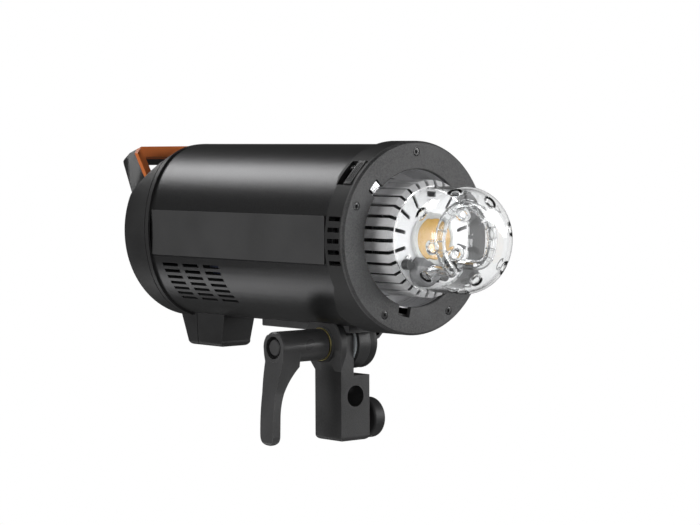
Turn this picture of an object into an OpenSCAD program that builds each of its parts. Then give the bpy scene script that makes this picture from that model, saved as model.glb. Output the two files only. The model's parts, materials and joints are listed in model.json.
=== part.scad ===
// Monolight strobe: a tubular flash head on a tilting stand bracket.
// Millimetres. Origin: mouth of the stand socket under the bracket. +Z up, the beam leaves along -Y.

/* [Head] */
// Outside radius of the barrel tube
barrel_r = 68.6; // [68:0.1:69]
// Height of the beam axis above the stand socket's mouth
beam_z = 155; // [154:0.5:157]
// Front face of the mount ring, ahead of the tilt axis
ring_front = 84; // [84:0.5:85]
// Outside radius of the mount ring and front housing
ring_r = 71; // [71:0.1:71.5]
// Radius of the bayonet opening
opening_r = 50.3; // [50:0.1:50.6]
// Rear face of the rear cover, behind the tilt axis
rear_y = 186; // [186:1:190]

/* [Side panels] */
// Height of the flat label plates on the barrel's sides
plate_h = 35; // [30:1:35]
// Columns of cooling slots on each side
vent_columns = 3; // [1:1:3]
// Rows of cooling slots on each side
vent_rows = 7; // [3:1:7]

/* [Lamp] */
// Radius of the slotted lamp cup
cup_r = 42.8; // [42:0.1:43]
// Slots around the lamp cup
cup_slots = 30; // [20:2:36]
// Outside radius of the glass dome
dome_r = 38.4; // [38:0.1:38.4]
// How far the dome's tip stands ahead of the tilt axis
dome_tip = 158; // [156:1:162]
// Radius of the flash tube's ring, to the middle of the tube
tube_ring_r = 24.9; // [24:0.1:26]
// Radius of the flash tube itself
tube_r = 3.8; // [3:0.1:4]

/* [Bracket] */
// Height of the tilt axis above the stand socket's mouth
tilt_z = 73.5; // [73.5:0.5:74]
// Radius of the stand socket, for a 16 mm spigot
socket_r = 8.1; // [8:0.05:8.2]
// Depth of the stand socket
socket_depth = 24; // [20:1:24]
// Height of the cross socket's axis
cross_z = 33.9; // [33.9:0.1:35]
// Height of the lock knob's axis
knob_z = 14.7; // [14:0.1:15]

/* [Hidden] */
$fn = 96;
fit = 0.05;           // radial clearance of a running fit

wall = 2.4;           // barrel tube's wall
barrel_front = -66;
barrel_rear = 166;
ring_face = -ring_front;
ring_t = 3.5;
ring_back = ring_face + ring_t;
screw_ring_r = 63;
ring_screw_angles = [90, 157, 23, 240, 300];
notch_angles = [137, 257, 17];
slider_angle = 136.5;
lug_spring_angles = [77, 197, 317];
lug_spring_in = 58.5;
lug_spring_out = 61;
slider_front = -79.4;
slider_rear = -70.4;
slider_half = 11.2;
slider_floor = 64.8;
slider_seat = -63.2;  // rear wall of the slider's recess, where its spring rests

plate_x = sqrt(pow(barrel_r, 2) - pow(plate_h / 2 + 0.3, 2));
plate_t = 1.5;
plate_front = -57.9;
plate_rear = 152.2;
flat_x = plate_x - plate_t - 2;  // inner face of the barrel's flats, behind the plates

vent_pitch_deg = 4.6;
vent_first_deg = 201.3;
vent_pitch_y = 25.8;
vent_first_y = 69.5;
vent_l = 19.5;
vent_h = 2.8;

deck_y = -52;
disc_y = -100.9;      // front face of the lamp cup
cup_shoulder = 38.6;
cup_chamfer = 2.6;
dome_base = disc_y - 0.3;
tube_plane = -136;
leg_angles = [244.8, 313];
leg_foot = disc_y - 12;
lamp_screw_r = 26.5;
lamp_screw_angles = [90, 210, 330];
led_r = 19.5;
base_r = 11;          // grey ceramic base under the flash tube's first leg
sockets = [[-26, -17, 3.6, 6], [3.5, -27, 5, 8]];  // x, z from the beam axis, radius, height

bracket_w = 28;
bracket_d = 30.5;
arm_inner = -1.7;
arm_top = 81.5;
block_top = 49.5;
flange_r = 22;
flange_x = -20.2;
web_foot = 53;        // height where the slope under the flange meets the block's side
web_top = 70;
boss_r = 14;
boss_x = -21;
stud_r = 5;
lever_in = -22.1;
lever_out = -67;
lever_r = 11.9;
spring_seat = -42;
cap_flange = -58;
collar_in = -22.3;
collar_out = -26;
knob_in = 19.4;
knob_out = 32.3;
knob_r = 15.5;
screw_r = 4;
pad_tip = 8.35;

rail_z = 82.5;
rail_front = -24;
rail_rear = 79.2;
hub_r = 20;
hub_seam = 11.5;
hub_out = 19.6;
pocket_r = 22.5;
saddle_r = 24.3;

panel_face = rear_y + 0.6;
panel_t = 1.6;
button_w = 11;
button_h = 6.5;
button_x = 30;
button_rows = [148, 135.5, 123];
dial_z = 132;
dial_r = 12;
dial_grooves = 24;
inlet_z = 103;
rocker_x = 27;
rocker_z = 107;
fuse_x = -27;
fuse_z = 107;
jack_x = 46;
usb_x = -46;
port_z = 133;

cover_r = ring_r - 0.5;
cover_wall = 3;
cover_round = 5;
recess_low = 179;            // the cover's rear leans forward above this height, under the handle
recess_lean = 0.6;
recess_y = 168.5;
panel_z = 145.4;
panel_w = 100;
panel_h = 56;

handle_half = 52;
handle_side = 6;
handle_cut = 6.5;
grip_t = 3.5;
lean = atan(0.69);           // the handle leans back by this angle
lean_dir = [sin(lean), cos(lean)];
lean_back = [cos(lean), -sin(lean)];
front_top = [193.1, 221.7];  // the handle's upper front edge, in side view
front_low = front_top - lean_dir * 10;
front_foot = front_top - lean_dir * 38.5;
seam_top = front_top + lean_back * grip_t;  // where the orange front meets the black back
seam_low = front_low + lean_back * grip_t;
seam_foot = front_foot + lean_back * grip_t;

black = [0.1, 0.1, 0.105];
grey_black = [0.17, 0.17, 0.175];
silver = [0.8, 0.81, 0.82];
steel = [0.62, 0.63, 0.65];

// ---------- helpers ----------

function arc(cx, cy, r, from, to, n = 8) =
    [for (i = [0:n]) let (a = from + (to - from) * i / n) [cx + r * cos(a), cy + r * sin(a)]];

// A point on a circle about the beam axis, in front view
function on_ring(r, a) = [r * cos(a), beam_z + r * sin(a)];

// A profile of [radius, y] points turned about the beam axis
module turned(points) {
    translate([0, 0, beam_z]) rotate([-90, 0, 0]) rotate_extrude() polygon(points);
}

// A profile of [radius, x] points turned about the tilt axis
module turned_x(points, z = tilt_z) {
    translate([0, 0, z]) rotate([0, 90, 0]) rotate_extrude() polygon(points);
}

module rod_x(r, x0, x1, y = 0, z = tilt_z) {
    translate([x0, y, z]) rotate([0, 90, 0]) cylinder(r = r, h = x1 - x0);
}

module rod_y(r, y0, y1, x = 0, z = beam_z) {
    translate([x, y0, z]) rotate([-90, 0, 0]) cylinder(r = r, h = y1 - y0);
}

// The clamp stud's twelve-sided collar, which the lever grips
module collar(r, x0, x1) {
    translate([x0, 0, tilt_z]) rotate([0, 90, 0]) cylinder(r = r, h = x1 - x0, $fn = 12);
}

// A box given by its lowest and highest corners
module box(low, high) {
    translate(low) cube(high - low);
}

// A side-view outline of [y, z] points, drawn out along X
module side_extrude(points, x0, x1) {
    translate([x0, 0, 0]) rotate([90, 0, 90]) linear_extrude(x1 - x0) polygon(points);
}

// A front-view outline of [x, z] points, drawn out along Y
module front_extrude(points, y0, y1) {
    translate([0, y1, 0]) rotate([90, 0, 0]) linear_extrude(y1 - y0) polygon(points);
}

// Turns its children about the beam axis, so that their +Z side faces outwards at this angle
module facing(angle) {
    translate([0, 0, beam_z]) rotate([0, 90 - angle, 0]) children();
}

module rounded_rect(w, h, r) {
    square([w - 2 * r, h], center = true);
    square([w, h - 2 * r], center = true);
    for (x = [-1, 1]) {
        for (y = [-1, 1]) translate([x * (w / 2 - r), y * (h / 2 - r)]) circle(r, $fn = 32);
    }
}

// A rounded plate standing across Y
module plate_y(w, h, r, y0, y1, x, z) {
    translate([x, y1, z]) rotate([90, 0, 0]) linear_extrude(y1 - y0) rounded_rect(w, h, r);
}

// A coil spring along +Z: a six-sided wire swept round a helix
module coil(r, wire_r, length, turns) {
    steps = turns * 14;
    sides = 6;
    points = [for (i = [0:steps]) let (a = 360 * turns * i / steps)
        for (k = [0:sides - 1]) let (b = 360 * k / sides, d = r + wire_r * cos(b))
            [d * cos(a), d * sin(a), wire_r + (length - 2 * wire_r) * i / steps + wire_r * sin(b)]];
    skin = [for (i = [0:steps - 1]) for (k = [0:sides - 1]) let (n = (k + 1) % sides)
        [i * sides + k, (i + 1) * sides + k, (i + 1) * sides + n, i * sides + n]];
    first = [for (k = [0:sides - 1]) k];
    last = [for (k = [sides - 1:-1:0]) steps * sides + k];
    polyhedron(points, concat(skin, [first, last]));
}

// ---------- bracket ----------

// One view of the bracket's block, with its bottom corners rounded
function block_outline(half, round) = concat([[-half, block_top], [half, block_top]],
    arc(half - round, round, round, 0, -90, 6), arc(round - half, round, round, -90, -180, 6));

// Flange round the tilt axis, running down into the block's side on a slope
module bracket_flange() {
    inner = -bracket_w / 2 + 0.1;
    half = bracket_d / 2;
    tangent = flange_r * [cos(23), -sin(23)];
    intersection() {
        union() {
            turned_x([[0, inner], [flange_r, inner], [flange_r, flange_x + 1], [flange_r - 1, flange_x],
                [0, flange_x]]);
            side_extrude([[tangent[0], tilt_z + tangent[1]], [half, web_foot], [-half, web_foot],
                [-tangent[0], tilt_z + tangent[1]]], flange_x, inner);
        }
        front_extrude([[inner, web_foot - 0.3], [flange_x, web_top], [flange_x, 100], [inner, 100]],
            -30, 30);
    }
}

module bracket_casting() {
    round = 3.5;
    front = block_outline(bracket_w / 2, round);
    side = block_outline(bracket_d / 2, round);
    color(grey_black) difference() {
        union() {
            intersection() {
                front_extrude(front, -bracket_d / 2, bracket_d / 2);
                side_extrude(side, -bracket_w / 2, bracket_w / 2);
            }
            side_extrude(concat([[-bracket_d / 2, block_top - 1], [bracket_d / 2, block_top - 1]],
                arc(bracket_d / 2 - 3, arm_top - 3, 3, 0, 90, 6),
                arc(-bracket_d / 2 + 3, arm_top - 3, 3, 90, 180, 6)), -bracket_w / 2, arm_inner);
            bracket_flange();
            turned_x([[0, arm_inner - 1], [boss_r, arm_inner - 1], [boss_r, boss_x + 0.4],
                [boss_r - 0.4, boss_x], [0, boss_x]]);
        }
        rod_x(stud_r + fit, boss_x - 1, 0);
        translate([0, 0, -1]) cylinder(r = socket_r, h = socket_depth + 1);
        rod_y(socket_r, -20, 20, 0, cross_z);
        rod_x(screw_r + fit, 5, 20, 0, knob_z);
    }
}

module clamp_stud() {
    color(steel) {
        rod_x(stud_r, cap_flange, hub_seam);
        collar(8, collar_out, collar_in);
    }
}

module brass_washer() {
    color([0.75, 0.6, 0.32]) turned_x([[stud_r + 0.1, boss_x], [12.5, boss_x], [12.5, boss_x - 0.9],
        [stud_r + 0.1, boss_x - 0.9]]);
}

module lever_cap_screw() {
    color(grey_black) turned_x([[0, cap_flange], [8.2, cap_flange], [8.2, cap_flange - 2],
        [6, cap_flange - 2], [6, lever_out + 1.4], [5.2, lever_out + 0.6], [0, lever_out + 0.6]]);
}

module lever_spring() {
    color(steel) translate([cap_flange + 0.1, 0, tilt_z]) rotate([0, 90, 0])
        coil(6.8, 0.8, spring_seat - cap_flange - 0.2, 6);
}

// The lever's swept arm is an outline in front view, cut to its width in side view
module clamp_lever() {
    inner_curve = arc(-16.3, 22, 50, 126, 180, 20);
    outer_curve = arc(124.5, 10, 198, 180, 164.5, 12);
    face = lever_out + 0.2;
    head_r = lever_r - 0.1;
    arm = concat([[-60, tilt_z + 11], [-46, tilt_z]], inner_curve, arc(-69.9, 4.4, 3.5, 0, -180, 16),
        outer_curve, [[face, tilt_z - 6], [face, tilt_z + 9]]);
    width = concat([[-head_r, tilt_z], [-7.6, 40]], arc(0.5, 8.4, 7.5, 180, 360, 20),
        [[8.2, 40], [head_r, tilt_z]], arc(0, tilt_z, head_r, 10, 170, 16));
    color(black) difference() {
        union() {
            turned_x([[0, lever_in], [lever_r - 0.5, lever_in], [lever_r, lever_in - 0.5],
                [lever_r, lever_out + 1.5], [lever_r - 1.5, lever_out], [0, lever_out]]);
            intersection() {
                translate([0, 20, 0]) rotate([90, 0, 0]) linear_extrude(40) polygon(arm);
                side_extrude(width, -90, -50);
            }
        }
        rod_x(stud_r + fit, lever_out - 1, lever_in + 1);
        collar(8.1, collar_out - 0.3, lever_in + 1);
        rod_x(8.5, lever_out - 10, spring_seat);
    }
}

module lock_pad() {
    color([0.75, 0.6, 0.32]) turned_x([[0, pad_tip], [3.2, pad_tip], [3.9, pad_tip + 0.7],
        [3.9, pad_tip + 1.6], [0, pad_tip + 1.6]], knob_z);
}

module lock_screw() {
    color(steel) rod_x(screw_r, pad_tip + 1.7, knob_in + 6, 0, knob_z);
}

module lock_knob() {
    color(black) difference() {
        turned_x(concat([[0, knob_in], [knob_r - 2.5, knob_in]], arc(knob_r - 2, knob_in + 2, 2, -90, 0, 4),
            arc(knob_r - 4, knob_out - 4.6, 4, 0, 75, 6), [[0, knob_out]]), knob_z);
        rod_x(screw_r, knob_in - 1, knob_in + 6.01, 0, knob_z);
    }
}

// ---------- tilt joint and rail ----------

module tilt_hub() {
    color(grey_black) difference() {
        intersection() {
            turned_x([[0, 0], [hub_r, 0], [hub_r, hub_seam], [0, hub_seam]]);
            box([-1, -30, 0], [30, 30, rail_z]);
        }
        rod_x(stud_r + fit, -1, hub_seam + 1);
    }
}

// The cap's shoulder turns out to the side and up to the rail's lug
module hub_cap() {
    color(black) {
        intersection() {
            turned_x(concat([[0, hub_seam + 0.2], [hub_r - 0.8, hub_seam + 0.2]],
                arc(hub_r - 3, hub_out - 3, 3, 0, 90, 5), [[0, hub_out]]));
            box([-1, -30, 0], [30, 30, rail_z]);
        }
        front_extrude([[hub_seam + 2, 78.6], [18.6, 75.4], [22.4, 76.6], [26.2, 80.4], [26.2, rail_z - 0.1],
            [25, rail_z - 0.1], [21.6, 78.6]], -17, 17);
    }
}

module friction_washer() {
    color([0.6, 0.72, 0.8]) intersection() {
        turned_x([[stud_r + 0.3, 0], [17.5, 0], [17.5, -1.5], [stud_r + 0.3, -1.5]]);
        box([-5, -30, 0], [5, 30, rail_z]);
    }
}

// Liner of the hollow that the bracket's flange turns in
module tilt_saddle() {
    color(black) difference() {
        intersection() {
            rod_x(saddle_r, -22.3, 0.8);
            rod_y(barrel_r - fit, -40, 40);
        }
        rod_x(pocket_r, -20.7, -1);
    }
}

module bottom_rail() {
    color(grey_black) difference() {
        union() {
            front_extrude([[-13.8, rail_z + 0.8], [-13, rail_z], [13.2, rail_z], [14, rail_z + 0.8],
                [14, 92], [-13.8, 92]], rail_front, rail_rear);
            front_extrude(concat([[14, 95], [13, 95], [13, rail_z]], arc(22, rail_z + 4, 4, -90, 0, 5),
                [[26, 95]]), -18, 18);
        }
        rod_y(barrel_r, -90, 90);
        rod_x(pocket_r, -30, -1);
    }
}

// ---------- head shell ----------

module vent_cuts(side) {
    for (column = [0:vent_columns - 1]) {
        for (row = [0:vent_rows - 1]) {
            angle = vent_first_deg + vent_pitch_deg * row;
            facing(side > 0 ? 180 - angle : angle)
                box([-vent_h / 2, vent_first_y + vent_pitch_y * column, 60],
                    [vent_h / 2, vent_first_y + vent_pitch_y * column + vent_l, 75]);
        }
    }
}

module barrel_shell() {
    half = plate_h / 2;
    color(black) difference() {
        rod_y(barrel_r, barrel_front, barrel_rear);
        intersection() {
            rod_y(barrel_r - wall, barrel_front - 1, barrel_rear + 1);
            box([-flat_x, -100, 0], [flat_x, 200, 300]);
        }
        for (side = [-1, 1]) {
            translate([side * (plate_x - plate_t + 10), 0, 0])
                box([-10, barrel_front - 1, beam_z - half - 0.9],
                    [10, barrel_rear + 1, beam_z + half + 0.2]);
            vent_cuts(side);
        }
        rod_x(saddle_r + fit, -22.35, 0.85);
        facing(slider_angle)
            box([-slider_half - 0.4, barrel_front - 1, 60], [slider_half + 0.4, slider_seat, 75]);
    }
}

module side_plates() {
    color(grey_black) for (side = [-1, 1]) {
        translate([side * (plate_x - plate_t / 2), (plate_front + plate_rear) / 2, beam_z])
            rotate([90, 0, 90]) linear_extrude(plate_t, center = true)
                rounded_rect(plate_rear - plate_front, plate_h, 0.8);
    }
}

// Housing behind the mount ring: its rear edge steps back above and below, in side view
module front_housing() {
    edge = [[ring_back, 60], [-48, 60], [-48, beam_z - 56], [-64, beam_z - 34], [-64, beam_z + 38],
        [-60, beam_z + 46], [-60, 240], [ring_back, 240]];
    color(black) difference() {
        intersection() {
            rod_y(ring_r, ring_back, -40);
            side_extrude(edge, -80, 80);
        }
        rod_y(barrel_r + fit, barrel_front - 0.5, -30);
        rod_y(barrel_r - wall, ring_back + 2.5, barrel_front);
        rod_y(56, ring_back - 1, -70);
        for (side = [0, 1]) {
            for (i = [-2:2]) {
                angle = 180.2 + 6.5 * i;
                facing(side == 1 ? 180 - angle : angle) box([-1.75, -79.4, 60], [1.75, -66.7, 75]);
            }
        }
        for (a = ring_screw_angles) {
            p = on_ring(screw_ring_r, a);
            rod_y(1.8, ring_back - 1, ring_back + 5, p[0], p[1]);
        }
        turned([[lug_spring_in - 0.2, ring_back - 1], [lug_spring_out + 0.2, ring_back - 1],
            [lug_spring_out + 0.2, -78.9], [lug_spring_in - 0.2, -78.9]]);
        facing(slider_angle) {
            box([-slider_half - 0.4, slider_front - 0.4, slider_floor - 0.2],
                [slider_half + 0.4, slider_seat, 75]);
            box([-4.4, -81, 50], [4.4, -70, 68]);
        }
    }
}

module mount_ring() {
    color(grey_black) difference() {
        turned([[opening_r + 0.6, ring_face], [ring_r - 1.5, ring_face], [ring_r, ring_face + 1.4],
            [ring_r, ring_back], [opening_r, ring_back], [opening_r, ring_face + 0.6]]);
        for (a = ring_screw_angles) {
            p = on_ring(screw_ring_r, a);
            rod_y(1.8, ring_face - 1, ring_back + 1, p[0], p[1]);
            rod_y(3.2, ring_face - 1, ring_face + 1.9, p[0], p[1]);
        }
        for (a = notch_angles) facing(a) box([-5.6, ring_face - 1, 45], [5.6, ring_back + 1, 58]);
    }
}

module ring_screws() {
    color(steel) for (a = ring_screw_angles) {
        p = on_ring(screw_ring_r, a);
        difference() {
            union() {
                rod_y(3, ring_face + 0.3, ring_face + 1.9, p[0], p[1]);
                rod_y(1.7, ring_face + 1.8, ring_face + 9, p[0], p[1]);
            }
            translate([p[0], ring_face, p[1]]) rotate([-90, 0, 0]) cylinder(r = 1.45, h = 1.4, $fn = 6);
        }
    }
}

// Curved leaf springs behind the ring that press the accessory's lugs home
module lug_springs() {
    color(steel) for (a = lug_spring_angles) {
        facing(a) intersection() {
            translate([0, 0, -beam_z]) turned([[lug_spring_in, -79.6], [lug_spring_out, -79.6],
                [lug_spring_out, -79], [lug_spring_in, -79]]);
            box([-16, -90, 40], [16, -60, 70]);
        }
    }
}

module release_slider() {
    corner = 1.2;
    top = 71.2;
    side = concat([[slider_front, slider_floor]],
        arc(slider_front + corner, top - corner, corner, 180, 90, 4),
        arc(slider_rear - corner, top - corner, corner, 90, 0, 4), [[slider_rear, slider_floor]]);
    color(black) facing(slider_angle) difference() {
        side_extrude(side, -slider_half, slider_half);
        for (y = [slider_front + 2.2:1.8:slider_rear - 2]) box([-9, y, top - 0.8], [9, y + 0.7, top + 2]);
    }
}

module lock_pin() {
    color(steel) facing(slider_angle) {
        box([-4, ring_face + 0.6, 52], [4, -76.4, 57.4]);
        box([-4, -79.2, 57.3], [4, -76.4, 64.75]);
    }
}

module slider_spring() {
    color(steel) facing(slider_angle) translate([7, slider_rear + 0.1, 67.4])
        rotate([-90, 0, 0]) coil(1.7, 0.3, slider_seat - slider_rear - 0.2, 4);
}

// ---------- lamp ----------

module lamp_deck() {
    thickness = 2.5;
    color(grey_black) intersection() {
        rod_y(65, deck_y, deck_y + thickness);
        box([0.1 - flat_x, deck_y - 1, 0], [flat_x - 0.1, deck_y + 5, 300]);
    }
}

module reflector_bowl() {
    color(silver) turned([[51.6, ring_back + 0.1], [51.6, -62], [49.6, deck_y - 0.1],
        [43.4, deck_y - 0.1], [43.4, deck_y - 0.9], [48.9, deck_y - 0.9], [50.8, -62.5],
        [50.8, ring_back + 0.1]]);
}

// The three screws that hold the lamp cup's disc, or holes for them
module lamp_screws(r, y0, y1) {
    for (a = lamp_screw_angles) {
        p = on_ring(lamp_screw_r, a);
        rod_y(r, y0, y1, p[0], p[1]);
    }
}

module lamp_cup() {
    inner = cup_r - 1.6;
    long_slots = [-12, 12, 36, 60, 120, 144, 168, 192];
    color(silver) difference() {
        turned([[0, disc_y], [cup_shoulder, disc_y], [cup_r, disc_y + cup_chamfer], [cup_r, deck_y],
            [inner, deck_y], [inner, disc_y + cup_chamfer + 0.6], [cup_shoulder - 0.6, disc_y + 1.6],
            [0, disc_y + 1.6]]);
        for (i = [0:cup_slots - 1]) facing(i * 360 / cup_slots)
            box([-1.35, disc_y - 1, 37], [1.35, -66, 50]);
        for (a = long_slots) facing(a) {
            box([-1.35, disc_y - 1, 26.9], [1.35, disc_y + 3, 36.4]);
            rod_y(1.35, disc_y - 1, disc_y + 3, 0, 26.9);
        }
        facing(90) box([-4.2, disc_y - 1, 30.4], [4.2, disc_y + 3, 34.6]);
        lamp_screws(1.6, disc_y - 1, disc_y + 3);
        rod_y(16, disc_y - 1, disc_y + 3);
    }
}

module cup_screws() {
    color(steel) {
        lamp_screws(2.6, disc_y - 1.4, disc_y - 0.05);
        lamp_screws(1.5, disc_y - 0.1, disc_y + 8);
    }
}

module heat_sink() {
    color(silver) difference() {
        union() {
            rod_y(24, disc_y + 2, disc_y + 7);
            for (i = [-4:4]) box([i * 5 - 0.8, disc_y + 6, beam_z - 20 + abs(i) * 1.6],
                [i * 5 + 0.8, deck_y - 6, beam_z + 20 - abs(i) * 1.6]);
        }
        lamp_screws(1.8, disc_y + 1, disc_y + 10);
    }
}

module led_board() {
    color("white") turned([[0, disc_y + 1.9], [15.8, disc_y + 1.9], [15.8, disc_y - 0.1],
        [led_r, disc_y - 0.1], [led_r, disc_y - 1.4], [led_r - 0.9, disc_y - 2.2], [15.6, disc_y - 2.2],
        [15.2, disc_y - 1], [0, disc_y - 1]]);
}

module led_phosphor() {
    color([0.93, 0.72, 0.28]) turned([[0, disc_y - 1.05], [14.6, disc_y - 1.05], [14.4, disc_y - 1.6],
        [0, disc_y - 1.6]]);
}

module led_lens() {
    edge_r = 18.4;
    sag = 4.7;
    curve_r = (pow(edge_r, 2) + pow(sag, 2)) / (2 * sag);
    base = disc_y - 2.3;
    color([0.9, 0.92, 0.95, 0.4]) turned(concat([[0, base]],
        arc(0, base - sag + curve_r, curve_r, asin(edge_r / curve_r) - 90, -90)));
}

module tube_base() {
    p = on_ring(tube_ring_r, leg_angles[0]);
    round = 2.5;
    color([0.6, 0.6, 0.6]) difference() {
        translate([p[0], 0, p[1]]) rotate([-90, 0, 0]) rotate_extrude() polygon(concat(
            [[0, disc_y - 0.05], [base_r, disc_y - 0.05]],
            arc(base_r - round, disc_y - 10 + round, round, 0, -90, 4), [[0, disc_y - 10]]));
        rod_y(4.4, disc_y - 11, disc_y - 5, p[0], p[1]);
        rod_y(led_r + 0.1, disc_y - 12, disc_y);
    }
}

module tube_sockets() {
    base = on_ring(tube_ring_r, leg_angles[0]);
    leg = on_ring(tube_ring_r, leg_angles[1]);
    color(black) difference() {
        union() {
            for (p = sockets) rod_y(p[2], disc_y - p[3], disc_y - 0.05, p[0], beam_z + p[1]);
            difference() {
                rod_y(6.5, disc_y - 9, disc_y - 0.05, leg[0], leg[1]);
                rod_y(sockets[1][2] + 0.1, disc_y - 12, disc_y, sockets[1][0], beam_z + sockets[1][1]);
            }
        }
        rod_y(base_r + 0.1, disc_y - 12, disc_y, base[0], base[1]);
        rod_y(4.4, disc_y - 10, disc_y - 5, leg[0], leg[1]);
        rod_y(led_r + 0.1, disc_y - 12, disc_y);
        lamp_screws(2.7, disc_y - 12, disc_y);
    }
}

// Ring of quartz tube with two legs bent back to the sockets
module flash_tube() {
    color([0.9, 0.92, 0.95, 0.4]) {
        sweep = 360 - (leg_angles[1] - leg_angles[0]);
        translate([0, tube_plane, beam_z]) rotate([90, 0, 0]) rotate([0, 0, leg_angles[1]])
            rotate_extrude(angle = sweep) translate([tube_ring_r, 0]) circle(tube_r);
        for (a = leg_angles) {
            p = on_ring(tube_ring_r, a);
            rod_y(tube_r + 0.3, tube_plane - tube_r - 0.4, leg_foot, p[0], p[1]);
        }
    }
}

module tube_caps() {
    color(steel) for (a = leg_angles) {
        p = on_ring(tube_ring_r, a);
        rod_y(4.3, leg_foot, disc_y - 5.05, p[0], p[1]);
    }
}

module trigger_wire() {
    color(steel) for (i = [0:15]) {
        a = leg_angles[1] + 12 + i * 17.8;
        facing(a) translate([0, tube_plane, tube_ring_r]) rotate([0, 90, 0])
            rotate_extrude() translate([tube_r + 0.35, 0]) circle(0.28, $fn = 16);
    }
}

module glass_dome() {
    glass = 2;
    corner = 23;
    axis_r = dome_r - corner;
    corner_y = -dome_tip + corner;
    color([0.9, 0.93, 0.96, 0.3]) turned(concat([[dome_r, dome_base]],
        arc(axis_r, corner_y, corner, 0, -90, 10), [[0, -dome_tip], [0, -dome_tip + glass]],
        arc(axis_r, corner_y, corner - glass, -90, 0, 10), [[dome_r - glass, dome_base]]));
}

// ---------- inside the barrel ----------

module fan_bulkhead() {
    color(grey_black) difference() {
        rod_y(barrel_r - wall - 4, -14, -12.5);
        rod_y(38, -15, -12);
        rod_x(saddle_r + 1, -30, 5);
    }
}

module fan_frame() {
    color(black) difference() {
        plate_y(80, 80, 4, -39, -14, 0, beam_z);
        rod_y(37.5, -40, -13);
        for (x = [-1, 1]) {
            for (z = [-1, 1]) rod_y(2.2, -40, -13, x * 35.7, beam_z + z * 35.7);
        }
    }
    color(black) for (a = [0, 120, 240]) facing(a) box([-1.5, -16, 15], [1.5, -14, 38]);
    color(black) {
        rod_y(16, -16, -14);
        rod_y(2, -36, -15.5);
    }
}

module fan_rotor() {
    color(grey_black) {
        difference() {
            rod_y(15.5, -38, -17);
            rod_y(2 + fit, -40, -16);
        }
        for (i = [0:6]) facing(i * 360 / 7) translate([0, -27.5, 15]) rotate([0, 0, 38])
            box([-11, -0.8, 0], [11, 0.8, 20.5]);
    }
}

module capacitors() {
    color([0.12, 0.14, 0.22]) for (x = [-1, 1]) {
        for (z = [-1, 1]) translate([x * 20, 0, beam_z + z * 20]) rotate([-90, 0, 0])
            rotate_extrude() polygon([[0, 22], [17, 22], [17.8, 23], [17.8, 116], [17, 117], [16.6, 116.4],
                [0, 116.4]]);
    }
}

module main_board() {
    color([0.05, 0.3, 0.16]) difference() {
        box([46, 12, beam_z - 38], [47.6, 150, beam_z + 38]);
        for (y = [18, 144]) {
            for (z = [-32, 32]) rod_x(1.7, 45, 49, y, beam_z + z);
        }
    }
    color(black) for (i = [0:3]) box([47.5, 24 + i * 30, beam_z - 20], [53, 40 + i * 30, beam_z - 2]);
    color(silver) for (i = [0:2]) box([47.5, 30 + i * 34, beam_z + 8], [52, 46 + i * 34, beam_z + 26]);
}

// ---------- rear ----------

// Side view of the cover: its upper rear leans forward, under the handle
function cover_side(inset) = let (top = recess_y - cover_round - inset, y = rear_y - inset)
    [[130, 60], [y, 60], [y, recess_low], [top, recess_low + (y - top) / recess_lean], [top, 260],
        [130, 260]];

// The cover's round shell, with its rear edge rounded
module cover_drum(rear) {
    turned(concat([[0, 140], [cover_r, 140]],
        arc(cover_r - cover_round, rear - cover_round, cover_round, 0, 90, 8), [[0, rear]]));
}

module rear_cover() {
    color(black) difference() {
        intersection() {
            union() {
                cover_drum(recess_y);
                intersection() {
                    cover_drum(rear_y);
                    side_extrude(cover_side(0), -80, 80);
                }
            }
            rod_x(165, -80, 80, 316, 152);
        }
        intersection() {
            rod_y(cover_r - cover_wall, 130, rear_y);
            side_extrude(cover_side(cover_wall), -80, 80);
        }
        rod_y(barrel_r + fit, 130, barrel_rear + 0.2);
        difference() {
            rod_x(161, -80, 80, 316, 152);
            rod_x(160.2, -81, 81, 316, 152);
            rod_y(cover_r - 0.5, 120, 200);
        }
        plate_y(panel_w, panel_h, 12, rear_y - panel_t, rear_y + 1, 0, panel_z);
        plate_y(panel_w - 22, panel_h - 12, 8, rear_y - 4, rear_y + 1, 0, panel_z);
        plate_y(27.4, 19.9, 2, rear_y - 4, rear_y + 1, 0, inlet_z);
        plate_y(13.2, 19.2, 1, rear_y - 4, rear_y + 1, rocker_x, rocker_z);
        rod_y(6.1, rear_y - 4, rear_y + 1, fuse_x, fuse_z);
        rod_y(3.6, rear_y - 4, rear_y + 1, jack_x, port_z);
        plate_y(9.2, 4.2, 1, rear_y - 4, rear_y + 1, usb_x, port_z);
    }
}

module rear_foot() {
    seam_y = 161;
    side = concat([[122.2, 100], [130, 67]], arc(134, 66, 4, 190, 270, 5), arc(169.7, 66, 4, 270, 345, 5),
        [[181, 86], [186, 100]]);
    front = concat([[-16.2, 100], [-14.5, 66.4]], arc(-10.6, 66, 4, 184, 270, 5),
        arc(10.6, 66, 4, 270, 356, 5),
        [[14.5, 66.4], [16.2, 100]]);
    color(black) difference() {
        intersection() {
            side_extrude(side, -30, 30);
            front_extrude(front, 110, 190);
        }
        rod_y(barrel_r + fit, 100, 200);
        intersection() {
            rod_y(cover_r + fit, 150, 200);
            rod_x(165 + fit, -80, 80, 316, 152);
        }
        difference() {
            box([-40, seam_y - 0.4, 50], [40, seam_y + 0.4, 100]);
            front_extrude([[-15.5, 100], [-13.7, 64.8], [-11, 62.6], [11, 62.6], [13.7, 64.8],
                [15.5, 100]], 110, 190);
        }
    }
}

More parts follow.
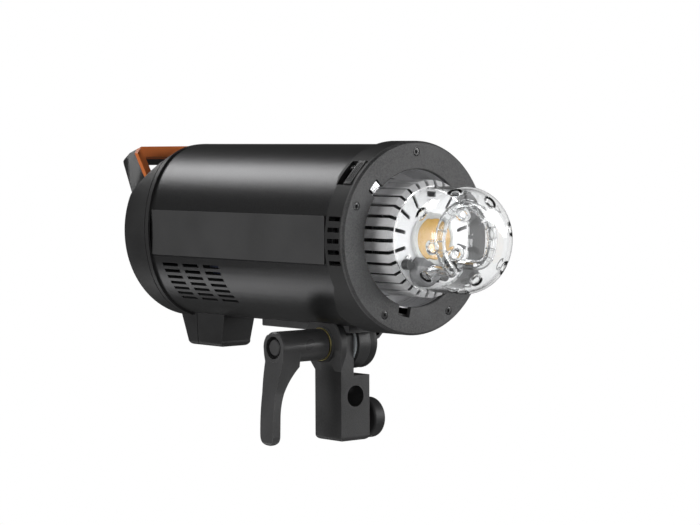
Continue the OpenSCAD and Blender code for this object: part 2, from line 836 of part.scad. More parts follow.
// Front view of the handle's loop: an arch with cut corners, open below
module handle_loop(points_arm, points_bar) {
    intersection() {
        union() {
            side_extrude(points_arm, -handle_half, handle_side - handle_half);
            side_extrude(points_arm, handle_half - handle_side, handle_half);
            side_extrude(points_bar, 1 - handle_half, handle_half - 1);
        }
        front_extrude([[-handle_half, 170], [handle_half, 170], [handle_half, 216.5],
            [handle_half - handle_cut, 222], [handle_cut - handle_half, 222], [-handle_half, 216.5]],
            160, 220);
    }
}

module handle_shell() {
    back = [seam_top, seam_top + lean_back * 14.8, [209.4, 210], [209.2, 208.4]];
    color(black) difference() {
        handle_loop(concat([seam_foot], back, [[198, 184.9], [192.5, 178], [185, 175]]),
            concat(back, [[208.2, 206.6], [197.4, 206.6], seam_low]));
        side_extrude(cover_side(0), -80, 80);
    }
}

module handle_grip() {
    color([0.8, 0.33, 0.14]) difference() {
        handle_loop([front_foot, front_top, seam_top, seam_foot],
            [front_low, front_top, seam_top, seam_low]);
        side_extrude(cover_side(0), -80, 80);
    }
}

module panel_holes(y0, y1) {
    rod_y(3.2, y0, y1, 0, dial_z);
    for (x = [-1, 1]) {
        for (z = button_rows) plate_y(button_w + 0.4, button_h + 0.4, 2.2, y0, y1, x * button_x, z);
    }
    rod_y(3.6, y0, y1, jack_x, port_z);
    plate_y(9.2, 4.2, 1, y0, y1, usb_x, port_z);
}

module control_panel() {
    color(grey_black) difference() {
        plate_y(panel_w - 0.4, panel_h - 0.4, 11.8, rear_y - panel_t + 0.05, panel_face, 0, panel_z);
        panel_holes(rear_y - 5, rear_y + 2);
        plate_y(40.4, 20.4, 1.2, panel_face - 1.2, rear_y + 2, 0, 160);
    }
}

module display_window() {
    color([0.05, 0.07, 0.1]) plate_y(40, 20, 1, panel_face - 1.15, panel_face - 0.05, 0, 160);
}

module dial() {
    color(black) {
        difference() {
            translate([0, 0, dial_z]) rotate([-90, 0, 0]) rotate_extrude() polygon(concat(
                [[0, panel_face + 0.4], [dial_r, panel_face + 0.4]],
                arc(dial_r - 1.6, panel_face + 9, 1.6, 0, 90, 4), [[0, panel_face + 10.6]]));
            for (i = [0:dial_grooves - 1]) translate([0, 0, dial_z]) rotate([0, i * 360 / dial_grooves, 0])
                box([dial_r - 0.4, panel_face + 1.2, -0.5], [dial_r + 1, panel_face + 12, 0.5]);
        }
        rod_y(3.1, panel_face - 5, panel_face + 1, 0, dial_z);
    }
}

module button(x, z) {
    color([0.3, 0.3, 0.32]) plate_y(button_w, button_h, 2, panel_face - 1.2, panel_face + 1.4, x, z);
}

module mode_button() { button(button_x, button_rows[0]); }
module test_button() { button(button_x, button_rows[1]); }
module lamp_button() { button(button_x, button_rows[2]); }
module group_button() { button(-button_x, button_rows[0]); }
module channel_button() { button(-button_x, button_rows[1]); }
module sound_button() { button(-button_x, button_rows[2]); }

// Rocker that tips about a pin along X
module power_rocker() {
    side = concat(arc(0, 0, 10.4, 66, 114, 6), [[-7, 4], [-3, -1], [3, -1], [7, 4]]);
    pivot_y = rear_y - 6.4;
    color([0.08, 0.08, 0.08]) {
        translate([rocker_x, pivot_y, rocker_z]) rotate([90, 0, 90])
            linear_extrude(11.6, center = true) polygon([for (p = side) [p[1], p[0]]]);
        rod_x(1.5, rocker_x - 6.4, rocker_x + 6.4, pivot_y, rocker_z);
    }
}

module power_inlet() {
    mouth = rear_y + 1.5;
    floor_y = rear_y - 16;
    color(black) difference() {
        union() {
            plate_y(27, 19.5, 2, rear_y - 18, rear_y + 0.2, 0, inlet_z);
            plate_y(33, 25, 3, rear_y + 0.05, mouth, 0, inlet_z);
        }
        translate([0, mouth + 1, inlet_z]) rotate([90, 0, 0]) linear_extrude(mouth + 1 - floor_y)
            polygon([[-11.8, -8], [11.8, -8], [11.8, 3.6], [7.4, 8], [-7.4, 8], [-11.8, 3.6]]);
    }
    color(steel) for (p = [[-7, -2.4], [7, -2.4], [0, 1.6]]) {
        box([p[0] - 1, floor_y - 1, inlet_z + p[1] - 2], [p[0] + 1, floor_y + 10, inlet_z + p[1] + 2]);
    }
}

module fuse_cap() {
    color(black) difference() {
        union() {
            rod_y(6, rear_y - 14, rear_y + 0.5, fuse_x, fuse_z);
            rod_y(7.2, rear_y + 0.05, rear_y + 4, fuse_x, fuse_z);
        }
        box([fuse_x - 4.5, rear_y + 2.8, fuse_z - 0.6], [fuse_x + 4.5, rear_y + 5, fuse_z + 0.6]);
    }
}

module sync_jack() {
    color(steel) difference() {
        rod_y(3.5, rear_y - 15, panel_face + 0.8, jack_x, port_z);
        rod_y(1.8, rear_y - 13.4, rear_y + 3, jack_x, port_z);
    }
}

module usb_port() {
    color(steel) difference() {
        plate_y(9, 4, 0.9, rear_y - 7, panel_face + 0.1, usb_x, port_z);
        plate_y(8, 3, 0.6, rear_y - 6, panel_face + 1, usb_x, port_z);
    }
}

bracket_casting();
clamp_stud();
brass_washer();
lever_cap_screw();
lever_spring();
clamp_lever();
lock_pad();
lock_screw();
lock_knob();
tilt_hub();
hub_cap();
friction_washer();
tilt_saddle();
bottom_rail();
barrel_shell();
side_plates();
front_housing();
mount_ring();
ring_screws();
lug_springs();
release_slider();
lock_pin();
slider_spring();
lamp_deck();
reflector_bowl();
lamp_cup();
cup_screws();
heat_sink();
led_board();
led_phosphor();
led_lens();
tube_base();
tube_sockets();
flash_tube();
tube_caps();
trigger_wire();
glass_dome();
fan_bulkhead();
fan_frame();
fan_rotor();
capacitors();
main_board();
rear_cover();
rear_foot();
handle_shell();
handle_grip();
control_panel();
display_window();
dial();
mode_button();
test_button();
lamp_button();
group_button();
channel_button();
sound_button();
power_rocker();
power_inlet();
fuse_cap();
sync_jack();
usb_port();
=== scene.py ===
import json
import math

import bmesh
import bpy
import numpy as np
from mathutils import Matrix, Vector


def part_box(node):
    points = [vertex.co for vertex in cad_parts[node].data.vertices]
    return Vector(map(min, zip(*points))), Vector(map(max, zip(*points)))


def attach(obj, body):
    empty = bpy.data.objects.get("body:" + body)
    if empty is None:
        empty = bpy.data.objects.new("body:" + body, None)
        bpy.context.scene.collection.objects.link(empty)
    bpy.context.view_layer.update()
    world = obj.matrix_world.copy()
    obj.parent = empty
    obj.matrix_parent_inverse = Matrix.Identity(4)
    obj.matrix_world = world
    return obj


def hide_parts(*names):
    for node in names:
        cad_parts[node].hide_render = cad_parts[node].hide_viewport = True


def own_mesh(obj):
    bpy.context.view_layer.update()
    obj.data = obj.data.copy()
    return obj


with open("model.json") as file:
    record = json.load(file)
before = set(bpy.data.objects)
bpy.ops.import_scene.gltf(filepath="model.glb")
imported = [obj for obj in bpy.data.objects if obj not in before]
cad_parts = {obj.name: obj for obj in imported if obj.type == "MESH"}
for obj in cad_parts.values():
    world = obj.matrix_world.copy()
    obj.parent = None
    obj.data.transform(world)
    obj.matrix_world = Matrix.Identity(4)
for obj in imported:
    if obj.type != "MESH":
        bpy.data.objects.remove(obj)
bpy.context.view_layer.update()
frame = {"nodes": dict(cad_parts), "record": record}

MM = 0.001
LENS_LOW, LENS_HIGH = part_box("glass_dome")
BEAM_Z = (LENS_LOW.z + LENS_HIGH.z) / 2
DOME_R = LENS_HIGH.x
PANEL_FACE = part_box("control_panel")[1].y
PANEL_MID = (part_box("control_panel")[0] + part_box("control_panel")[1]) / 2


# ---------- camera, light and floor ----------

def place_camera():
    azimuth, elevation, roll = (math.radians(v) for v in (-40.81, 3.12, -0.26))
    back = Vector((math.sin(azimuth) * math.cos(elevation),
                   -math.cos(azimuth) * math.cos(elevation), math.sin(elevation)))
    level = Vector((math.cos(azimuth), math.sin(azimuth), 0))
    rise = back.cross(level)
    right = level * math.cos(roll) + rise * math.sin(roll)
    up = rise * math.cos(roll) - level * math.sin(roll)
    data = bpy.data.cameras.new("camera")
    data.lens = 122.04
    data.sensor_width = 36
    data.clip_start, data.clip_end = 0.05, 60
    camera = bpy.data.objects.new("camera", data)
    bpy.context.scene.collection.objects.link(camera)
    turn = Matrix((right, up, back)).transposed().to_4x4()
    camera.matrix_world = Matrix.Translation((-1.1658, -1.3597, 0.2317)) @ turn
    bpy.context.scene.camera = camera


def softbox(name, place, target, size, power):
    """A square soft light at place, aimed at target."""
    data = bpy.data.lights.new(name, "AREA")
    data.shape = "RECTANGLE"
    data.size, data.size_y = size, size
    data.energy = power
    light = bpy.data.objects.new(name, data)
    bpy.context.scene.collection.objects.link(light)
    away = Vector(place) - Vector(target)
    light.matrix_world = Matrix.Translation(place) @ away.to_track_quat("Z", "Y").to_matrix().to_4x4()


def light_studio():
    """Soft lights in a dim room. Glass sees it pale near eye level, and dark above and below."""
    head = (0, 0.03, 0.15)
    lamp = (0, -0.08, 0.13)
    softbox("above_back", (-0.15, 1.22, 1.18), head, 0.5, 4.0)
    softbox("low_back", (-0.36, 1.15, -0.78), head, 0.5, 1.1)
    softbox("left_side", (-2.1, 0.3, 0.35), head, 0.8, 13)
    softbox("camera_side", (-1.6, -1.7, 0.8), head, 0.9, 4.0)
    softbox("front", (0.3, -2.0, 0.2), lamp, 1.0, 5.6)
    softbox("low_left", (-1.6, 0.4, -0.4), head, 0.7, 3)
    softbox("right_front", (1.6, -1.3, 0.5), lamp, 0.8, 17)
    world = bpy.data.worlds.new("studio")
    bpy.context.scene.world = world
    world.use_nodes = True
    nodes, links = world.node_tree.nodes, world.node_tree.links
    room = nodes["Background"]
    room.inputs["Color"].default_value = (0.055, 0.055, 0.055, 1)
    paper = nodes.new("ShaderNodeBackground")
    paper.inputs["Color"].default_value = (1, 1, 1, 1)
    path = nodes.new("ShaderNodeLightPath")
    direction = nodes.new("ShaderNodeSeparateXYZ")
    links.new(nodes.new("ShaderNodeTexCoord").outputs["Generated"], direction.inputs[0])
    height = nodes.new("ShaderNodeMath")
    height.operation = "ABSOLUTE"
    links.new(direction.outputs["Z"], height.inputs[0])
    backdrop = nodes.new("ShaderNodeMapRange")
    for socket, number in zip(("From Min", "From Max", "To Min", "To Max"), (0.3, 0.6, 1, 0)):
        backdrop.inputs[socket].default_value = number
    links.new(height.outputs[0], backdrop.inputs["Value"])
    through = nodes.new("ShaderNodeMath")
    through.operation = "MULTIPLY"
    links.new(path.outputs["Is Transmission Ray"], through.inputs[0])
    links.new(backdrop.outputs[0], through.inputs[1])
    straight = nodes.new("ShaderNodeMath")
    straight.operation = "MAXIMUM"
    links.new(path.outputs["Is Camera Ray"], straight.inputs[0])
    links.new(through.outputs[0], straight.inputs[1])
    mix = nodes.new("ShaderNodeMixShader")
    links.new(straight.outputs[0], mix.inputs[0])
    links.new(room.outputs[0], mix.inputs[1])
    links.new(paper.outputs[0], mix.inputs[2])
    links.new(mix.outputs[0], nodes["World Output"].inputs["Surface"])
    bpy.context.scene.view_settings.view_transform = "Standard"


def make_floor():
    """A pale round floor well under the bracket, which fades out into the pale room."""
    mesh = bpy.data.meshes.new("floor")
    shape = bmesh.new()
    bmesh.ops.create_circle(shape, cap_ends=True, segments=96, radius=2.4)
    shape.to_mesh(mesh)
    shape.free()
    floor = bpy.data.objects.new("floor", mesh)
    floor.location = (0, 0, -0.32)
    bpy.context.scene.collection.objects.link(floor)
    look = Look("floor", (0.8, 0.8, 0.8), 0.9)
    spread = look.add("ShaderNodeVectorMath")
    spread.operation = "LENGTH"
    look.join(look.where, spread.inputs[0])
    clear = look.add("ShaderNodeBsdfTransparent")
    fade = look.add("ShaderNodeMixShader")
    look.join(look.level(spread.outputs["Value"], 0, 1, 0.15, 0.6), fade.inputs[0])
    look.join(look.shader.outputs[0], fade.inputs[1])
    look.join(clear.outputs[0], fade.inputs[2])
    look.join(fade.outputs[0], look.output.inputs["Surface"])
    mesh.materials.append(look.material)


# ---------- materials ----------

class Look:
    """One material: a Principled shader, and short calls that add nodes to it."""

    def __init__(self, name, colour, rough, metal=0.0, more=None):
        self.material = bpy.data.materials.new(name)
        self.material.use_nodes = True
        tree = self.material.node_tree
        self.add, self.join = tree.nodes.new, tree.links.new
        self.shader = tree.nodes["Principled BSDF"]
        self.output = tree.nodes["Material Output"]
        self.where = self.add("ShaderNodeTexCoord").outputs["Object"]
        self.colour = colour
        self.normal = None
        self.set("Base Color", (*colour, 1))
        self.set("Roughness", rough)
        self.set("Metallic", metal)
        for socket, value in (more or {}).items():
            self.set(socket, value)

    def set(self, socket, value):
        self.shader.inputs[socket].default_value = value

    def drive(self, socket, value):
        self.join(value, self.shader.inputs[socket])

    def noise(self, size, detail=2.0, stretch=(1, 1, 1)):
        """Noise with features of about this size in metres, squeezed along each axis by stretch."""
        place = self.add("ShaderNodeMapping")
        place.inputs["Scale"].default_value = stretch
        self.join(self.where, place.inputs["Vector"])
        node = self.add("ShaderNodeTexNoise")
        node.inputs["Scale"].default_value = 1 / size
        node.inputs["Detail"].default_value = detail
        self.join(place.outputs[0], node.inputs["Vector"])
        return node.outputs[0]

    def level(self, value, low, high, from_low=0.3, from_high=0.7):
        """value, spread from one range over another and held inside it."""
        node = self.add("ShaderNodeMapRange")
        for socket, number in zip(("From Min", "From Max", "To Min", "To Max"),
                                  (from_low, from_high, low, high)):
            node.inputs[socket].default_value = number
        self.join(value, node.inputs["Value"])
        return node.outputs[0]

    def times(self, first, second):
        node = self.add("ShaderNodeMath")
        node.operation = "MULTIPLY"
        self.join(first, node.inputs[0])
        self.join(second, node.inputs[1])
        return node.outputs[0]

    def blend(self, share, first, second):
        """A colour between two, each a colour or another node's output."""
        node = self.add("ShaderNodeMix")
        node.data_type = "RGBA"
        self.join(share, node.inputs[0])
        for place, value in ((6, first), (7, second)):
            if isinstance(value, tuple):
                node.inputs[place].default_value = (*value, 1)
            else:
                self.join(value, node.inputs[place])
        return node.outputs[2]

    def edges(self, radius):
        """1 along edges sharper than this radius, and 0 on open faces."""
        rounded = self.add("ShaderNodeBevel")
        rounded.samples = 4
        rounded.inputs["Radius"].default_value = radius
        flat = self.add("ShaderNodeNewGeometry")
        dot = self.add("ShaderNodeVectorMath")
        dot.operation = "DOT_PRODUCT"
        self.join(rounded.outputs[0], dot.inputs[0])
        self.join(flat.outputs["Normal"], dot.inputs[1])
        return self.level(dot.outputs["Value"], 1, 0, 0.86, 0.995)

    def bump(self, height, depth, strength=1.0):
        node = self.add("ShaderNodeBump")
        node.inputs["Distance"].default_value = depth
        node.inputs["Strength"].default_value = strength
        self.join(height, node.inputs["Height"])
        if self.normal is not None:
            self.join(self.normal, node.inputs["Normal"])
        self.normal = node.outputs[0]
        self.drive("Normal", self.normal)


def shade(colour, factor):
    return tuple(min(1.0, c * factor) for c in colour)


def coated(name, colour, rough, grain, depth, edge_wear_and_highlight=1.6, contrast=0.25, more=None):
    """Powder coat or moulded plastic: fine grain, faint clouding, and edges made paler, partly as rubbed
    wear and partly as a painted highlight along the edges.
    """
    look = Look(name, colour, rough, more=more)
    fine = look.noise(grain, 3)
    cloud = look.noise(0.035, 2)
    specks = look.noise(0.0011, 2)
    base = look.blend(look.level(cloud, 0, 1), shade(colour, 1 - contrast / 2),
                      shade(colour, 1 + contrast / 2))
    base = look.blend(look.level(specks, 0, 0.5), base, shade(colour, 1 + contrast))
    # Paler edges: partly rubbed wear, partly a painted highlight where edges would catch the light.
    edge_wear_and_highlight_mask = look.times(look.edges(0.0007), look.level(look.noise(0.006, 3), 0.3, 1))
    look.drive("Base Color", look.blend(edge_wear_and_highlight_mask, base, shade(colour, edge_wear_and_highlight)))
    look.drive("Roughness", look.level(cloud, rough - 0.05, rough + 0.07))
    look.bump(fine, depth)
    return look.material


def brushed(name, colour, rough, along, metal=1.0, contrast=0.3):
    """Turned or brushed metal, with streaks that are fine along one axis and long along the others."""
    stretch = tuple(40 if axis == along else 1 for axis in "xyz")
    look = Look(name, colour, rough, metal)
    streak = look.noise(0.02, 3, stretch)
    cloud = look.noise(0.03, 2)
    base = look.blend(look.level(streak, 0, 1), shade(colour, 1 - contrast), shade(colour, 1 + contrast))
    base = look.blend(look.level(cloud, 0, 0.35), base, shade(colour, 0.7))
    look.drive("Base Color", base)
    look.drive("Roughness", look.level(streak, rough - 0.06, rough + 0.08))
    look.bump(streak, 0.00002, 0.5)
    return look.material


def barrel_look():
    """Black anodised aluminium, blasted to an even satin grain."""
    colour = (0.105, 0.105, 0.107)
    look = Look("barrel_black", colour, 0.32, 0.85)
    grain = look.noise(0.0007, 3)
    cloud = look.noise(0.03, 2)
    base = look.blend(look.level(grain, 0, 1), shade(colour, 0.82), shade(colour, 1.18))
    look.drive("Base Color", look.blend(look.level(cloud, 0, 0.3), base, shade(colour, 0.88)))
    look.drive("Roughness", look.level(grain, 0.29, 0.37))
    look.bump(grain, 0.00005, 0.6)
    return look.material


def glass_look(name, tint):
    """Clear glass that lets the lamps' light through to what is inside."""
    look = Look(name, tint, 0.0, more={"Transmission Weight": 1.0, "IOR": 1.47})
    smear = look.noise(0.02, 2)
    look.drive("Roughness", look.level(smear, 0, 0.03))
    look.bump(look.noise(0.012, 1), 0.00004, 0.4)
    path = look.add("ShaderNodeLightPath")
    clear = look.add("ShaderNodeBsdfTransparent")
    clear.inputs["Color"].default_value = (*shade(tint, 0.97), 1)
    mix = look.add("ShaderNodeMixShader")
    look.join(path.outputs["Is Shadow Ray"], mix.inputs[0])
    look.join(look.shader.outputs[0], mix.inputs[1])
    look.join(clear.outputs[0], mix.inputs[2])
    look.join(mix.outputs[0], look.output.inputs["Surface"])
    return look.material


def phosphor_look():
    look = Look("phosphor", (0.9, 0.52, 0.12), 0.35, more={"Subsurface Weight": 0.15})
    grain = look.noise(0.0012, 3)
    look.drive("Base Color", look.blend(look.level(grain, 0, 1), (0.84, 0.42, 0.06), (0.94, 0.54, 0.1)))
    look.bump(grain, 0.0001)
    return look.material


LOOKS = {
    "cast_black": coated("cast_black", (0.05, 0.05, 0.051), 0.44, 0.0006, 0.00012, 2.6, 0.6),
    "ring_black": coated("ring_black", (0.075, 0.075, 0.076), 0.5, 0.0007, 0.0002, 1.5, 1.3),
    "barrel_black": barrel_look(),
    "plate_black": coated("plate_black", (0.075, 0.075, 0.076), 0.48, 0.0004, 0.00003, 1.8, 0.15),
    "moulded_black": coated("moulded_black", (0.031, 0.031, 0.0315), 0.46, 0.0005, 0.00006, 2.4, 0.4),
    "lever_black": coated("lever_black", (0.09, 0.09, 0.091), 0.3, 0.0006, 0.00004, 2.2, 0.3),
    "orange": coated("orange", (0.99, 0.25, 0.065), 0.42, 0.0005, 0.00005, 1.25, 0.12),
    "steel": brushed("steel", (0.62, 0.62, 0.63), 0.25, "x"),
    "black_screw": coated("black_screw", (0.02, 0.02, 0.021), 0.3, 0.0004, 0.00003, 4.0, 0.3),
    "brass": brushed("brass", (0.95, 0.7, 0.3), 0.38, "x", 1.0, 0.45),
    "nylon": coated("nylon", (0.85, 0.93, 0.98), 0.42, 0.0005, 0.00003, 1.2, 0.1),
    "reflector": brushed("reflector", (0.95, 0.95, 0.96), 0.3, "y", 0.3, 0.04),
    "cup_white": coated("cup_white", (0.92, 0.92, 0.93), 0.42, 0.0005, 0.00005, 1.1, 0.06,
                        {"Metallic": 0.05}),
    "heatsink": brushed("heatsink", (0.6, 0.61, 0.63), 0.35, "y"),
    "ceramic": coated("ceramic", (0.21, 0.21, 0.215), 0.62, 0.0004, 0.00006, 1.3, 0.15),
    "led_white": coated("led_white", (0.78, 0.78, 0.77), 0.3, 0.0006, 0.00002, 1.1, 0.05),
    "phosphor": phosphor_look(),
    "glass": glass_look("glass", (0.96, 0.965, 0.966)),
    "capacitor": coated("capacitor", (0.03, 0.045, 0.12), 0.3, 0.0008, 0.00003, 1.5, 0.2),
    "board": coated("board", (0.02, 0.12, 0.06), 0.3, 0.0006, 0.00003, 1.4, 0.3),
    "button": coated("button", (0.06, 0.06, 0.062), 0.6, 0.0004, 0.00004, 1.6, 0.15),
    "display": coated("display", (0.006, 0.007, 0.009), 0.12, 0.002, 0.00001, 1.2, 0.1,
                      {"Coat Weight": 0.6}),
    "print_white": coated("print_white", (0.62, 0.62, 0.62), 0.5, 0.0004, 0.00001, 1.0, 0.05),
    "lamp_green": coated("lamp_green", (0.05, 0.5, 0.16), 0.25, 0.001, 0.00001, 1.0, 0.05),
}
make_floor()
place_camera()
light_studio()

# How far each CAD node's edges are rounded, in millimetres. The rest get 0.15.
ROUNDED = {
    "bracket_casting": 0.9, "clamp_lever": 0.5, "tilt_hub": 0.5, "hub_cap": 0.4, "bottom_rail": 0.4,
    "mount_ring": 0.35, "front_housing": 0.4, "rear_cover": 0.5, "rear_foot": 0.8, "handle_shell": 1.2,
    "handle_grip": 0.9, "side_plates": 0.3, "barrel_shell": 0.25, "lamp_cup": 0.2, "lock_knob": 0.4,
    "release_slider": 0.3, "control_panel": 0.3, "dial": 0.25, "power_rocker": 0.4, "power_inlet": 0.3,
}


def finish_node(name, slot):
    """Gives a CAD node its material, rounded edges and smooth shading. Its mesh stays as packed."""
    node = frame["nodes"][name]
    mesh = node.data
    mesh.materials.clear()
    mesh.materials.append(LOOKS[slot])
    weld = node.modifiers.new("weld", "WELD")
    weld.merge_threshold = 0.00001
    bevel = node.modifiers.new("bevel", "BEVEL")
    bevel.width = ROUNDED.get(name, 0.15) * MM
    bevel.segments = 2
    bevel.limit_method = "ANGLE"
    bevel.angle_limit = math.radians(32)
    bevel.harden_normals = False
    mesh.polygons.foreach_set("use_smooth", [True] * len(mesh.polygons))
    normals = node.modifiers.new("normals", "WEIGHTED_NORMAL")
    normals.keep_sharp = True


for part in frame["record"]["subparts"]:
    finish_node(part["node"], part["material_slot"])


# ---------- mesh helpers ----------

def make_piece(name, points, faces, slot, body):
    mesh = bpy.data.meshes.new(name)
    mesh.from_pydata([tuple(p) for p in points], [], [tuple(f) for f in faces])
    mesh.validate()
    shape = bmesh.new()
    shape.from_mesh(mesh)
    bmesh.ops.recalc_face_normals(shape, faces=shape.faces)
    shape.to_mesh(mesh)
    shape.free()
    mesh.materials.append(LOOKS[slot])
    mesh.polygons.foreach_set("use_smooth", [True] * len(mesh.polygons))
    mesh.set_sharp_from_angle(angle=math.radians(40))
    piece = bpy.data.objects.new(name, mesh)
    bpy.context.scene.collection.objects.link(piece)
    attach(piece, body)
    return piece


def grid_faces(rows, columns):
    """Quads over a grid of points stored row by row, closed round its columns."""
    return [(r * columns + c, r * columns + (c + 1) % columns,
             (r + 1) * columns + (c + 1) % columns, (r + 1) * columns + c)
            for r in range(rows - 1) for c in range(columns)]


def ring_point(radius, angle, y):
    """A point round the beam axis; the angle is in radians, from +X towards +Z."""
    return Vector((radius * math.cos(angle), y, BEAM_Z + radius * math.sin(angle)))


def sweep(path, radius, sides=16, capped=True):
    """A round tube along a list of points, with its frame carried along without twist."""
    points, faces = [], []
    normal = None
    for i, p in enumerate(path):
        ahead = (path[min(i + 1, len(path) - 1)] - path[max(i - 1, 0)]).normalized()
        if normal is None:
            normal = ahead.orthogonal().normalized()
        normal = (normal - ahead * normal.dot(ahead)).normalized()
        side = ahead.cross(normal)
        points += [p + (normal * math.cos(a) + side * math.sin(a)) * radius
                   for a in (2 * math.pi * k / sides for k in range(sides))]
    faces = grid_faces(len(path), sides)
    if capped:
        last = len(points) - sides
        faces += [tuple(range(sides - 1, -1, -1)), tuple(range(last, last + sides))]
    return points, faces


def joined(shapes):
    """Several (points, faces) shapes as one."""
    points, faces = [], []
    for more_points, more_faces in shapes:
        start = len(points)
        points += list(more_points)
        faces += [tuple(i + start for i in f) for f in more_faces]
    return points, faces


# ---------- the lamp ----------

def dome_profile():
    """[radius, y, outward radius part, outward y part] along the dome's outside, from its rim to its tip."""
    corner = 23 * MM
    tip, rim = LENS_LOW.y, LENS_HIGH.y
    rows = [(DOME_R, y, 1.0, 0.0) for y in np.linspace(rim, tip + corner, 44, endpoint=False)]
    for a in np.linspace(0, math.pi / 2, 48):
        rows.append((DOME_R - corner + corner * math.cos(a), tip + corner - corner * math.sin(a),
                     math.cos(a), -math.sin(a)))
    rows += [(r, tip, 0.0, -1.0) for r in np.linspace(DOME_R - corner, 0.0004, 18)[1:]]
    return rows


def make_dome():
    """The glass dome: smooth outside with ring-shaped dimples pressed into it, plain inside."""
    columns = 288
    wall = 2 * MM
    centres = [ring_point(DOME_R, math.radians(149 + 72 * k), LENS_LOW.y + 33 * MM) for k in range(5)]
    centres += [ring_point(DOME_R - 0.7 * MM, math.radians(185 + 72 * k), LENS_LOW.y + 17.3 * MM)
                for k in range(5)]
    centres += [ring_point(28 * MM, math.radians(196 + 60 * k), LENS_LOW.y + 4 * MM) for k in range(6)]
    rows = dome_profile()
    angles = np.arange(columns) * 2 * math.pi / columns
    outside = np.array([[(r * math.cos(a), y, BEAM_Z + r * math.sin(a)) for a in angles]
                        for r, y, _, _ in rows])
    outward = np.array([[(nr * math.cos(a), ny, nr * math.sin(a)) for a in angles]
                        for _, _, nr, ny in rows])
    depth = np.zeros(outside.shape[:2])
    for centre in centres:
        away = np.linalg.norm(outside - np.array(centre), axis=2)
        depth += 1.15 * MM * np.exp(-((away - 3.9 * MM) / (0.8 * MM)) ** 2)
    outside = outside - outward * depth[..., None]
    inner = [(r - nr * wall, y - ny * wall) for r, y, nr, ny in rows[::3] if r > wall]
    inner[0] = (DOME_R - wall, LENS_HIGH.y)
    inner.append((0.0004, LENS_LOW.y + wall))
    inside = np.array([[(r * math.cos(a), y, BEAM_Z + r * math.sin(a)) for a in angles] for r, y in inner])
    points = np.concatenate([outside[::-1].reshape(-1, 3), inside.reshape(-1, 3)])
    count = len(rows) + len(inner)
    faces = grid_faces(count, columns)
    last = count * columns
    faces += [tuple(range(columns - 1, -1, -1)), tuple(range(last - columns, last))]
    dome = make_piece("clear_dome", points.tolist(), faces, "glass", "dome")
    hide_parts("glass_dome")


TUBE_LOW, TUBE_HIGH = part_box("flash_tube")
TUBE_R = 3.8 * MM
TUBE_RING_R = 24.9 * MM
TUBE_PLANE = TUBE_LOW.y + TUBE_R + 0.4 * MM
TUBE_LEGS = [math.radians(a) for a in (313, 244.8 + 360)]


def tube_path():
    """Up one leg, round a bend, along the ring, round a bend and down the other leg."""
    bend = 5.5 * MM
    turn = bend / TUBE_RING_R
    foot = TUBE_HIGH.y
    path = []
    for leg, side in zip(TUBE_LEGS, (1, -1)):
        part = [ring_point(TUBE_RING_R, leg, y) for y in np.linspace(foot, TUBE_PLANE + bend, 8)]
        for a in np.linspace(0, math.pi / 2, 9)[1:]:
            part.append(ring_point(TUBE_RING_R, leg + side * turn * (1 - math.cos(a)),
                                   TUBE_PLANE + bend * (1 - math.sin(a))))
        if side == 1:
            path += part
            ring = np.linspace(TUBE_LEGS[0] + turn, TUBE_LEGS[1] - turn, 120)[1:-1]
            path += [ring_point(TUBE_RING_R, a, TUBE_PLANE) for a in ring]
        else:
            path += part[::-1]
    return path


def make_flash_tube():
    path = tube_path()
    outer = sweep(path, TUBE_R, 28, capped=False)
    inner_points, inner_faces = sweep(path, TUBE_R - 1.0 * MM, 28, capped=False)
    inner = (inner_points, [f[::-1] for f in inner_faces])
    points, faces = joined([outer, inner])
    sides, start = 28, len(path) * 28
    for row, flip in ((0, False), (len(path) - 1, True)):
        for k in range(sides):
            n = (k + 1) % sides
            quad = (row * sides + k, start + row * sides + k, start + row * sides + n, row * sides + n)
            faces.append(quad[::-1] if flip else quad)
    tube = make_piece("quartz_tube", points, faces, "glass", "head")
    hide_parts("flash_tube")


def make_electrodes():
    """A metal rod with a thick tip inside each end of the flash tube."""
    shapes = []
    for leg in TUBE_LEGS:
        stem = [ring_point(TUBE_RING_R, leg, TUBE_HIGH.y - s * MM) for s in (0, 4, 8)]
        tip = [ring_point(TUBE_RING_R, leg, TUBE_HIGH.y - s * MM) for s in (7.5, 8, 12, 14.5, 15)]
        shapes.append(sweep(stem, 0.7 * MM, 16))
        shapes.append(sweep(tip, 1.7 * MM, 20))
    make_piece("electrodes", *joined(shapes), "steel", "head")


def make_trigger_wire():
    """Fine wire wrapped round the flash tube, one turn at a time, and led along it between the turns."""
    wire_r = 0.26 * MM
    gap_r = TUBE_R + wire_r
    shapes = []
    starts = [TUBE_LEGS[0] + math.radians(12 + 17.8 * k) for k in range(16)]
    for a in starts:
        ring = []
        for k in range(33):
            b = 2 * math.pi * k / 32
            r = TUBE_RING_R + gap_r * math.cos(b)
            ring.append(ring_point(r, a + math.radians(1.6) * k / 32, TUBE_PLANE + gap_r * math.sin(b)))
        shapes.append(sweep(ring, wire_r, 8))
    line = [ring_point(TUBE_RING_R + gap_r, a, TUBE_PLANE) for a in np.linspace(starts[0], starts[-1], 110)]
    shapes.append(sweep(line, wire_r, 8))
    lead = [ring_point(TUBE_RING_R + gap_r, starts[-1], TUBE_PLANE + s * MM) for s in (0, 1, 3, 12, 26, 34)]
    shapes.append(sweep(lead, wire_r, 8))
    wire = make_piece("trigger_winding", *joined(shapes), "steel", "head")
    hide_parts("trigger_wire")


make_dome()
make_flash_tube()
make_electrodes()
make_trigger_wire()


# ---------- springs ----------

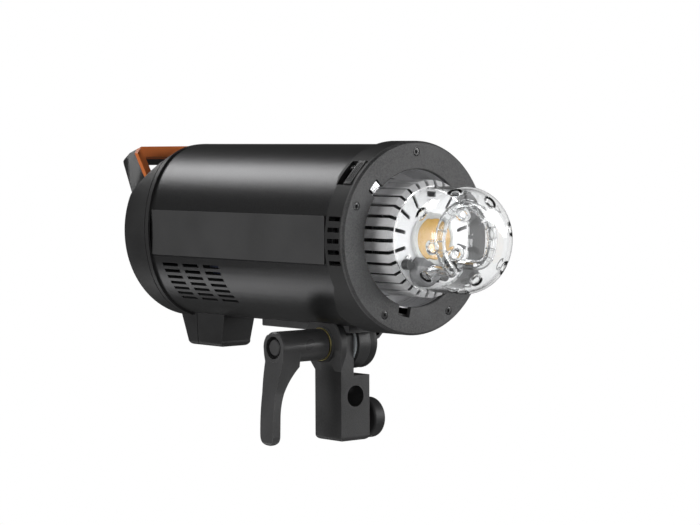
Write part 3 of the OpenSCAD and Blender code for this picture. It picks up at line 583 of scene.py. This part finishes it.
def make_spring(name, node, axis, wire_r, turns, body):
    """A round-wire coil in the place of a node, which it hides."""
    low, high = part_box(node)
    first, second = [i for i in range(3) if i != axis]
    middle = (low + high) / 2
    coil_r = min(high[first] - low[first], high[second] - low[second]) / 2 - wire_r
    steps = turns * 24
    path = []
    for i in range(steps + 1):
        angle = 2 * math.pi * turns * i / steps
        point = middle.copy()
        point[axis] = low[axis] + wire_r + (high[axis] - low[axis] - 2 * wire_r) * i / steps
        point[first] += coil_r * math.cos(angle)
        point[second] += coil_r * math.sin(angle)
        path.append(point)
    spring = make_piece(name, *sweep(path, wire_r, 10), "steel", body)
    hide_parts(node)
    anchor = middle.copy()
    anchor[axis] = high[axis]
    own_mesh(spring)


make_spring("lever_coil", "lever_spring", 0, 0.8 * MM, 6, "lever")
make_spring("slider_coil", "slider_spring", 1, 0.3 * MM, 4, "head")


# ---------- rear panel details ----------

def disc(x, z, y_back, y_front, radius, sides=32, dome=0.0):
    """A short round boss on the rear panel, with its face domed by dome."""
    rows = [(radius, y_back), (radius, y_front - 0.15 * MM), (radius - 0.15 * MM, y_front),
            (radius * 0.5, y_front + dome), (0.02 * MM, y_front + dome * 1.3)]
    points = [(x + r * math.cos(a), y, z + r * math.sin(a))
              for r, y in rows for a in (2 * math.pi * k / sides for k in range(sides))]
    faces = [f[::-1] for f in grid_faces(len(rows), sides)]
    last = len(points) - sides
    faces += [tuple(range(sides)), tuple(range(last + sides - 1, last - 1, -1))]
    return points, faces


def slab(x0, x1, z0, z1, y0, y1):
    """A thin raised rectangle with a small chamfer."""
    edge = min(0.1 * MM, (x1 - x0) / 4, (z1 - z0) / 4)
    points = []
    for inset, y in ((0, y0), (0, y1 - edge), (edge, y1)):
        points += [(x0 + inset, y, z0 + inset), (x1 - inset, y, z0 + inset),
                   (x1 - inset, y, z1 - inset), (x0 + inset, y, z1 - inset)]
    faces = [f[::-1] for f in grid_faces(3, 4)]
    return points, faces + [(0, 1, 2, 3), (11, 10, 9, 8)]


def make_dial_marks():
    """Ticks round the dial, with a long one at every third."""
    low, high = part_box("dial")
    x, z, radius = (low.x + high.x) / 2, (low.z + high.z) / 2, (high.x - low.x) / 2
    shapes = []
    for k in range(13):
        a = math.radians(225 - 22.5 * k)
        length = (2.2 if k % 3 == 0 else 1.2) * MM
        points, faces = slab(-0.2 * MM, 0.2 * MM, radius + 1.6 * MM, radius + 1.6 * MM + length,
                             PANEL_FACE - 0.02 * MM, PANEL_FACE + 0.12 * MM)
        turn = a - math.pi / 2
        points = [(x + px * math.cos(turn) - pz * math.sin(turn), py,
                   z + px * math.sin(turn) + pz * math.cos(turn)) for px, py, pz in points]
        shapes.append((points, faces))
    make_piece("dial_marks", *joined(shapes), "print_white", "head")


def make_panel_screws():
    shapes = []
    for x in (-45.5, 45.5):
        for z in (-23.5, 23.5):
            shapes.append(disc(PANEL_MID.x + x * MM, PANEL_MID.z + z * MM, PANEL_FACE - 0.1 * MM,
                               PANEL_FACE + 0.6 * MM, 1.7 * MM, dome=0.25 * MM))
    make_piece("panel_screws", *joined(shapes), "black_screw", "head")


def make_status_lamps():
    shapes = []
    for name in ("mode", "test", "lamp", "group", "channel", "sound"):
        low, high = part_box(name + "_button")
        side = 1 if low.x > 0 else -1
        x = (high.x if side > 0 else low.x) + side * 3.2 * MM
        shapes.append(disc(x, (low.z + high.z) / 2, PANEL_FACE - 0.1 * MM, PANEL_FACE + 0.2 * MM,
                           0.75 * MM, 20, 0.15 * MM))
    make_piece("status_lamps", *joined(shapes), "lamp_green", "head")


make_dial_marks()
make_panel_screws()
make_status_lamps()
